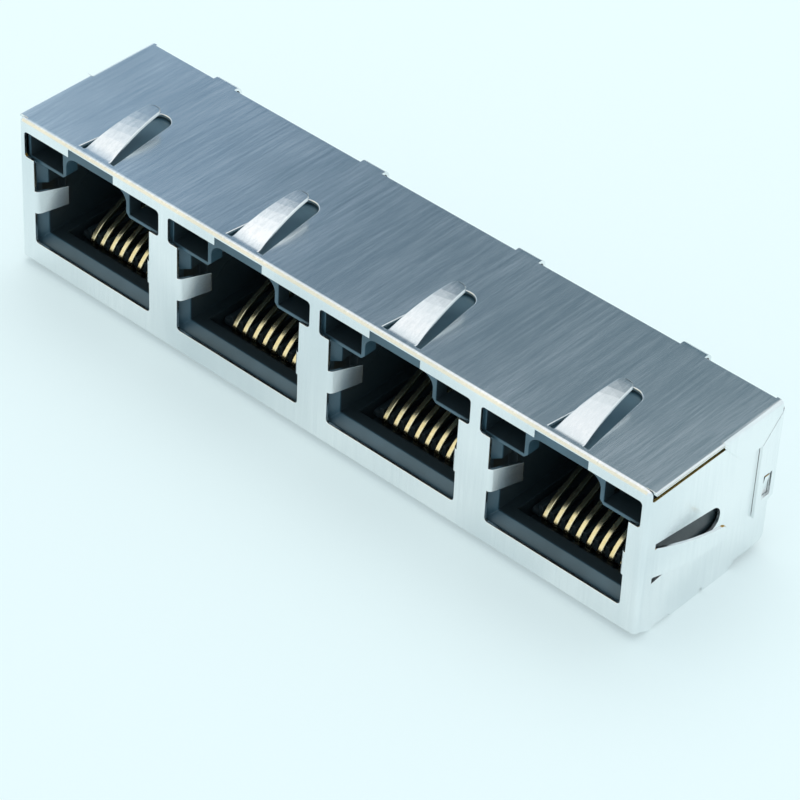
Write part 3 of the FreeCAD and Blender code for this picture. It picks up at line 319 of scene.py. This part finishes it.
def add_arch(work, centre):
    """Lower the head of one latch channel's frame by a strip with round lower corners."""
    reach = CHANNEL_HALF + ARCH_ROOT
    spring = ARCH_HEAD - CHANNEL_CORNER
    front = moulding_low[1] + ARCH_INSET
    outline = [work.verts.new((centre - reach, front, POCKET_ROOF + ARCH_ROOT)),
               work.verts.new((centre - reach, front, spring))]
    for side, start in ((-1, centre - CHANNEL_HALF), (1, centre + CHANNEL_HALF - CHANNEL_CORNER)):
        middle = (centre + side * (CHANNEL_HALF - CHANNEL_CORNER), front, spring)
        foot = work.verts.new((start, front, spring if side < 0 else ARCH_HEAD))
        bmesh.ops.spin(work, geom=[foot], cent=middle, axis=(0, 1, 0), angle=math.radians(90), steps=8)
        outline += sorted(arc_corners(foot), key=lambda corner: corner.co.x)
    outline += [work.verts.new((centre + reach, front, spring)),
                work.verts.new((centre + reach, front, POCKET_ROOF + ARCH_ROOT))]
    face = work.faces.new(outline)
    grown = bmesh.ops.extrude_face_region(work, geom=[face])["geom"]
    rear = [part for part in grown if isinstance(part, bmesh.types.BMVert)]
    bmesh.ops.translate(work, vec=(0, FRAME_DEPTH, 0), verts=rear)


housing = merged_copy("housing")
for port in range(4):
    arch = bmesh.new()
    add_arch(arch, (port - 1.5) * PORT_PITCH)
    bmesh.ops.recalc_face_normals(arch, faces=arch.faces)
    strip = bpy.data.meshes.new("arch")
    arch.to_mesh(strip)
    arch.free()
    housing.from_mesh(strip)
finished_piece("housing_moulding", "housing", housing, MOULD_EDGE, [black])

# Contact inserts. Four black mouldings behind the openings, which hold the contacts in slots.
for number in range(1, 5):
    node = "contact_insert_%d" % number
    finished_piece(node + "_moulding", node, merged_copy(node), MOULD_EDGE / 2, [black])

# Contacts. Thirty-two spring wires of bronze strip, gold plated over nickel, polished by the
# rolls, so that each beam shows its surroundings as a soft streak.
CONTACT_EDGE = 0.08 * MM
DRAWN = 0.25 * MM

gold, tree = empty_material("gold_plated_bronze_strip")
place = add(tree, "ShaderNodeTexCoord")
drawn = add(tree, "ShaderNodeTexNoise", {"Vector": place.outputs["Object"], "Scale": 1 / DRAWN,
                                         "Detail": 2})
tone = ramp(tree, drawn.outputs["Fac"], (0.3, "#e6dab0"), (0.7, "#f7efd0"))
metal = add(tree, "ShaderNodeBsdfPrincipled", {"Base Color": tone.outputs[0], "Roughness": 0.22,
                                               "Metallic": 1.0})
add(tree, "ShaderNodeOutputMaterial", {"Surface": metal.outputs[0]})
for port in range(1, 5):
    for contact in range(1, 9):
        node = "port_%d_contact_%d" % (port, contact)
        finished_piece(node + "_wire", node, merged_copy(node), CONTACT_EDGE, [gold])

# Table. A pale, slightly blue sheet that runs far past the view, at the height of the circuit
# board's face, with the pegs and tails through it. From below it can be seen through.
FLOOR_DROP = 0.02 * MM
FLOOR_SIZE = 2.0
EVEN_PART = 0.42


def in_sight(tree):
    """A value that is 1 for rays that the camera, a reflection or a clear body looks along."""
    rays = add(tree, "ShaderNodeLightPath")
    seen = add(tree, "ShaderNodeMath", {0: rays.outputs["Is Camera Ray"],
                                        1: rays.outputs["Is Glossy Ray"]},
               operation="MAXIMUM")
    through = add(tree, "ShaderNodeMath", {0: seen.outputs[0], 1: rays.outputs["Is Transmission Ray"]},
                  operation="MAXIMUM")
    return through.outputs[0]


paper, tree = empty_material("pale_blue_matt_sheet")
even = add(tree, "ShaderNodeMath", {0: in_sight(tree), 1: EVEN_PART}, operation="MULTIPLY")
lit = add(tree, "ShaderNodeBsdfDiffuse", {"Color": linear("#f2fcfd")})
backdrop = add(tree, "ShaderNodeEmission", {"Color": linear("#e8fbfe"), "Strength": 1.0})
sheet_look = add(tree, "ShaderNodeMixShader", {0: even.outputs[0], 1: lit.outputs[0],
                                               2: backdrop.outputs[0]})
clear = add(tree, "ShaderNodeBsdfTransparent")
side = add(tree, "ShaderNodeNewGeometry")
both = add(tree, "ShaderNodeMixShader", {0: side.outputs["Backfacing"], 1: sheet_look.outputs[0],
                                         2: clear.outputs[0]})
add(tree, "ShaderNodeOutputMaterial", {"Surface": both.outputs[0]})
work = bmesh.new()
bmesh.ops.create_grid(work, x_segments=1, y_segments=1, size=FLOOR_SIZE)
bmesh.ops.translate(work, vec=(0, 0, -FLOOR_DROP), verts=work.verts)
mesh = bpy.data.meshes.new("table_sheet")
work.to_mesh(mesh)
work.free()
mesh.materials.append(paper)
table = bpy.data.objects.new("table_sheet", mesh)
bpy.context.scene.collection.objects.link(table)
table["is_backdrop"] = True

# Studio cards. Three curved cards that only the metal sees: a blue-grey one behind on the left,
# which gives the top panel its tone, a cream one in front on the left for the front bend, and a
# white one overhead for the raised fingers.
CARD_RADIUS = 0.9
CEILING_RADIUS = 1.0
TONE_LEFT = -0.75 * CARD_RADIUS
TONE_RIGHT = -0.40 * CARD_RADIUS
FADE_START = 0.68 * CARD_RADIUS
FADE_END = 0.84 * CARD_RADIUS
PALE_STRENGTH = 1.15


def studio_card(name, paint, radius, low, high, start, turn):
    """A card spun round the object, between two heights and over a turn, all in degrees."""
    work = bmesh.new()
    foot = work.verts.new((radius * math.cos(math.radians(low)), 0, radius * math.sin(math.radians(low))))
    bmesh.ops.spin(work, geom=[foot], cent=(0, 0, 0), axis=(0, -1, 0), angle=math.radians(high - low),
                   steps=12)
    bmesh.ops.rotate(work, verts=work.verts, cent=(0, 0, 0),
                     matrix=Matrix.Rotation(math.radians(start), 3, "Z"))
    bmesh.ops.spin(work, geom=work.verts[:] + work.edges[:], cent=(0, 0, 0), axis=(0, 0, 1),
                   angle=math.radians(turn), steps=40)
    mesh = bpy.data.meshes.new(name)
    work.to_mesh(mesh)
    work.free()
    mesh.materials.append(paint)
    card = bpy.data.objects.new(name, mesh)
    bpy.context.scene.collection.objects.link(card)
    card.visible_camera = False
    card.visible_diffuse = False
    card.visible_shadow = False
    card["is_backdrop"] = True


blue_paint, tree = empty_material("blue_grey_card")
place = add(tree, "ShaderNodeTexCoord")
apart = add(tree, "ShaderNodeSeparateXYZ", {0: place.outputs["Object"]})
across = add(tree, "ShaderNodeMapRange", {"Value": apart.outputs["X"], "From Min": TONE_LEFT,
                                          "From Max": TONE_RIGHT})
tone = ramp(tree, across.outputs[0], (0.0, "#c9deed"), (0.43, "#85a6c3"), (0.54, "#52718c"),
            (0.64, "#516b7c"), (0.8, "#466071"), (0.9, "#577482"))
upwards = add(tree, "ShaderNodeMapRange", {"Value": apart.outputs["Z"], "From Min": FADE_START,
                                           "From Max": FADE_END}, interpolation_type="SMOOTHSTEP")
fade = add(tree, "ShaderNodeMix", {0: upwards.outputs[0], 6: tone.outputs[0], 7: linear("#f6fcfe")},
           data_type="RGBA")
brighter = add(tree, "ShaderNodeMapRange", {"Value": upwards.outputs[0], "To Min": 1.0,
                                            "To Max": PALE_STRENGTH})
glow = add(tree, "ShaderNodeEmission", {"Color": fade.outputs[2], "Strength": brighter.outputs[0]})
add(tree, "ShaderNodeOutputMaterial", {"Surface": glow.outputs[0]})
studio_card("blue_grey_card", blue_paint, CARD_RADIUS, 12, 60, 84, 84)

for name, colour, strength, radius, low, high, start, turn in (
        ("cream_card", "#fffae2", 1.0, CARD_RADIUS, 1, 58, 200, 60),
        ("white_ceiling_card", "#fbfdff", PALE_STRENGTH, CEILING_RADIUS, 50, 89.5, 0, 360)):
    paint, tree = empty_material(name)
    glow = add(tree, "ShaderNodeEmission", {"Color": linear(colour), "Strength": strength})
    add(tree, "ShaderNodeOutputMaterial", {"Surface": glow.outputs[0]})
    studio_card(name, paint, radius, low, high, start, turn)

# Light. One soft box high on the left and an even pale surround.
BOX_SIZE = 0.6
BOX_DISTANCE = 0.7
BOX_POWER = 1.6
SURROUND = 0.84
SKY_IN_SIGHT = 0.97

lamp = bpy.data.lights.new("soft_box", "AREA")
lamp.shape = "SQUARE"
lamp.size = BOX_SIZE
lamp.energy = BOX_POWER
lamp.color = linear("#fffdf8")[:3]
soft_box = bpy.data.objects.new("soft_box", lamp)
towards = Vector((-0.25, 0.3, 0.92)).normalized()
soft_box.location = towards * BOX_DISTANCE
soft_box.visible_glossy = False
soft_box.rotation_mode = "QUATERNION"
soft_box.rotation_quaternion = towards.to_track_quat("Z", "Y")
bpy.context.scene.collection.objects.link(soft_box)

world = bpy.data.worlds.new("pale_surround")
bpy.context.scene.world = world
world.use_nodes = True
tree = world.node_tree
tree.nodes.clear()
level = add(tree, "ShaderNodeMapRange", {"Value": in_sight(tree), "To Min": SURROUND,
                                         "To Max": SKY_IN_SIGHT})
sky = add(tree, "ShaderNodeBackground", {"Color": linear("#ecfaff"), "Strength": level.outputs[0]})
add(tree, "ShaderNodeOutputWorld", {"Surface": sky.outputs[0]})

# Camera, from the front right, looking down on the top panel.
AIM = Vector((1.56, 3.04, 0)) * MM
AZIMUTH = math.radians(40.32)
ELEVATION = math.radians(39.21)
ROLL = math.radians(3.14)
DISTANCE = 263.3 * MM

lens = bpy.data.cameras.new("photo_camera")
lens.lens = 159.93
lens.sensor_width = 36
lens.clip_start = 0.01
lens.clip_end = 10
camera = bpy.data.objects.new("photo_camera", lens)
back = Vector((math.sin(AZIMUTH) * math.cos(ELEVATION), -math.cos(AZIMUTH) * math.cos(ELEVATION),
               math.sin(ELEVATION)))
camera.location = AIM + back * DISTANCE
camera.rotation_mode = "QUATERNION"
camera.rotation_quaternion = back.to_track_quat("Z", "Y") @ Quaternion((0, 0, 1), ROLL)
bpy.context.scene.collection.objects.link(camera)
bpy.context.scene.camera = camera
bpy.context.scene.view_settings.view_transform = "Standard"

low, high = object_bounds()
